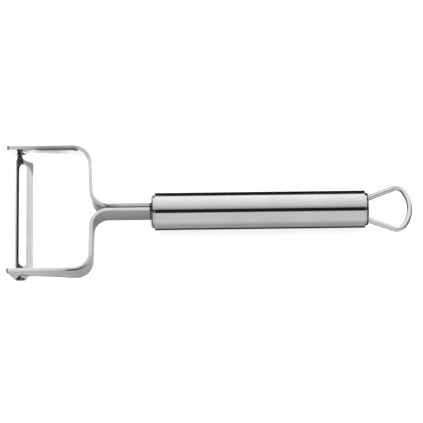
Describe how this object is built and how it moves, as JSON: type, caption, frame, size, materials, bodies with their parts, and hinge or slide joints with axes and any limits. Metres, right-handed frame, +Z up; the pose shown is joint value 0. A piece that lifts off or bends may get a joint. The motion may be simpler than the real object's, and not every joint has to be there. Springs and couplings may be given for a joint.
{
  "type": "y-peeler",
  "caption": "All-steel y-peeler: round tubular handle with domed caps, forked strip yoke, slotted swivel blade in flared ears and a bent wire loop for hanging.",
  "frame": {"origin": "middle of the part's footprint, on the surface that the handle lies on", "axes": "+X along the handle towards the hanging loop, so the blade is at -X; +Y across the fork towards the left arm; +Z up, the side that faces the user"},
  "size_m": [0.1742, 0.0614, 0.016],
  "materials": {
    "polished_steel": "polished stainless steel",
    "strip_steel": "satin-polished stainless strip with ground edges",
    "blade_steel": "stamped stainless sheet with a ground bevel",
    "rivet_steel": "plain steel",
    "core_plastic": "moulded dark grey plastic"
  },
  "bodies": {
    "handle_and_fork": {"handle_tube": "polished_steel", "front_cap": "polished_steel", "rear_cap": "polished_steel", "tang_core": "core_plastic", "fork_strip_left": "strip_steel", "fork_strip_right": "strip_steel", "tang_rivet_front": "rivet_steel", "tang_rivet_rear": "rivet_steel", "hanging_loop": "polished_steel"},
    "swivel_blade": {"blade": "blade_steel"}
  },
  "joints": [
    {"name": "blade_swivel", "type": "hinge", "parent": "handle_and_fork", "child": "swivel_blade", "pos_m": [-0.08125, 0, 0.0085], "axis": [0, -1, 0], "range_deg": [0, 30]}
  ]
}
